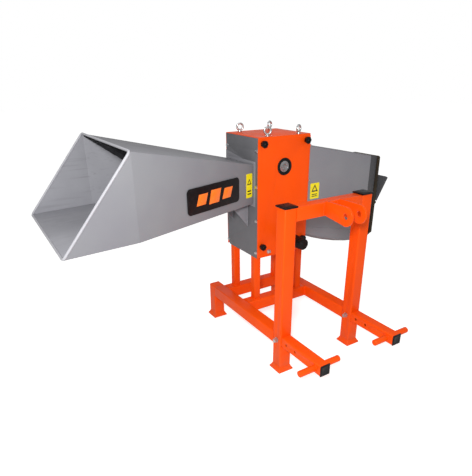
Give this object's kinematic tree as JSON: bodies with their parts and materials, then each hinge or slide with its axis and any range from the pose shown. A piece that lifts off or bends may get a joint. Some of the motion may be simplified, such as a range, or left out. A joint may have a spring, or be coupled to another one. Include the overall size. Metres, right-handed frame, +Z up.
{
  "type": "tractor wood chipper",
  "caption": "Tractor-driven wood chipper on a three-point hitch frame, with a wide infeed hopper, belt-driven rotor housing and a side discharge chute with a hinged flap.",
  "frame": {"origin": "middle of the bounding box, on the ground", "axes": "+Z up, +X towards the discharge chute, -X towards the infeed hopper, -Y towards the tractor"},
  "size_m": [1.8826, 1.097, 1.0579],
  "materials": {
    "orange_paint": "gloss powder coat",
    "grey_paint": "semi-gloss grey paint",
    "bare_steel": "machined steel",
    "zinc_plate": "zinc plated",
    "cast_metal": "cast, oiled",
    "black_plastic": "moulded, slightly shiny",
    "black_rubber": "matt rubber"
  },
  "bodies": {
    "machine": {"badge_plate": "black_plastic", "bearing_plate": "grey_paint", "bottom_plate": "orange_paint", "chip_ramp": "grey_paint", "chute_belly": "grey_paint", "chute_front_panel": "grey_paint", "chute_rear_panel": "grey_paint", "chute_top_panel": "grey_paint", "counter_knife": "bare_steel", "crossmembers": "orange_paint", "discharge_side_plate": "grey_paint", "drive_belt": "black_rubber", "foot_plates": "orange_paint", "front_cover": "orange_paint", "hitch_lock_bolts": "zinc_plate", "hopper_floor": "grey_paint", "hopper_front_panel": "grey_paint", "hopper_rear_panel": "grey_paint", "hopper_top_panel": "grey_paint", "housing_bolts": "zinc_plate", "housing_posts": "orange_paint", "infeed_baffle": "grey_paint", "infeed_side_plate": "grey_paint", "left_rail": "orange_paint", "left_upright": "orange_paint", "lifting_eyes": "zinc_plate", "mast_crossbar": "orange_paint", "mouth_rim": "grey_paint", "outlet_rim": "grey_paint", "rear_legs": "orange_paint", "rear_top_shell": "orange_paint", "right_rail": "orange_paint", "right_upright": "orange_paint", "rotor_screen": "bare_steel", "shaft_bearings": "cast_metal", "throat_flange": "grey_paint", "top_link_ears": "orange_paint", "upright_caps": "black_plastic", "view_ring": "black_rubber"},
    "left_arm": {"left_hitch_arm": "orange_paint", "left_hitch_pin": "orange_paint", "left_arm_cap": "black_plastic"},
    "right_arm": {"right_hitch_arm": "orange_paint", "right_hitch_pin": "orange_paint", "right_arm_cap": "black_plastic"},
    "rotor": {"rotor_shaft": "bare_steel", "rotor_discs": "bare_steel", "knife_bars": "bare_steel", "hammer_rods": "bare_steel", "rotor_pulley": "cast_metal"},
    "drive": {"drive_shaft": "bare_steel", "drive_pulley": "cast_metal"},
    "stub_cap": {"drive_cap": "black_plastic"},
    "upper_hammer_set": {"upper_hammers": "bare_steel"},
    "lower_hammer_set": {"lower_hammers": "bare_steel"},
    "flap": {"deflector_flap": "grey_paint"},
    "upper_left_knob": {"upper_left_knob": "black_plastic"},
    "upper_right_knob": {"upper_right_knob": "black_plastic"},
    "lower_left_knob": {"lower_left_knob": "black_plastic"},
    "lower_right_knob": {"lower_right_knob": "black_plastic"}
  },
  "joints": [
    {"name": "rotor_spin", "type": "hinge", "parent": "machine", "child": "rotor", "pos_m": [0.13944, 0.2155, 0.872], "axis": [0, 1, 0], "continuous": true},
    {"name": "drive_spin", "type": "hinge", "parent": "machine", "child": "drive", "pos_m": [0.13944, 0.1155, 0.53], "axis": [0, 1, 0], "continuous": true},
    {"name": "upper_hammer_swing", "type": "hinge", "parent": "rotor", "child": "upper_hammer_set", "pos_m": [0.13944, 0.2155, 0.946], "axis": [0, 1, 0], "range_deg": [-75, 75]},
    {"name": "lower_hammer_swing", "type": "hinge", "parent": "rotor", "child": "lower_hammer_set", "pos_m": [0.13944, 0.2155, 0.798], "axis": [0, 1, 0], "range_deg": [-75, 75]},
    {"name": "cap_pull", "type": "slide", "parent": "drive", "child": "stub_cap", "axis": [0, -1, 0], "range_m": [0, 0.13]},
    {"name": "left_arm_slide", "type": "slide", "parent": "machine", "child": "left_arm", "axis": [0, 1, 0], "range_m": [0, 0.124]},
    {"name": "right_arm_slide", "type": "slide", "parent": "machine", "child": "right_arm", "axis": [0, 1, 0], "range_m": [0, 0.124]},
    {"name": "flap_hinge", "type": "hinge", "parent": "machine", "child": "flap", "pos_m": [0.84744, 0.1955, 0.586], "axis": [0, 1, 0], "range_deg": [-28, 60]},
    {"name": "upper_left_knob_turn", "type": "hinge", "parent": "machine", "child": "upper_left_knob", "pos_m": [0.01344, 0.0555, 0.985], "axis": [0, 1, 0], "continuous": true},
    {"name": "upper_right_knob_turn", "type": "hinge", "parent": "machine", "child": "upper_right_knob", "pos_m": [0.26544, 0.0555, 0.985], "axis": [0, 1, 0], "continuous": true},
    {"name": "lower_left_knob_turn", "type": "hinge", "parent": "machine", "child": "lower_left_knob", "pos_m": [0.01344, 0.0555, 0.492], "axis": [0, 1, 0], "continuous": true},
    {"name": "lower_right_knob_turn", "type": "hinge", "parent": "machine", "child": "lower_right_knob", "pos_m": [0.26544, 0.0555, 0.492], "axis": [0, 1, 0], "continuous": true}
  ],
  "couplings": [
    {"joint": "drive_spin", "follows": "rotor_spin", "ratio": 0.5031}
  ]
}
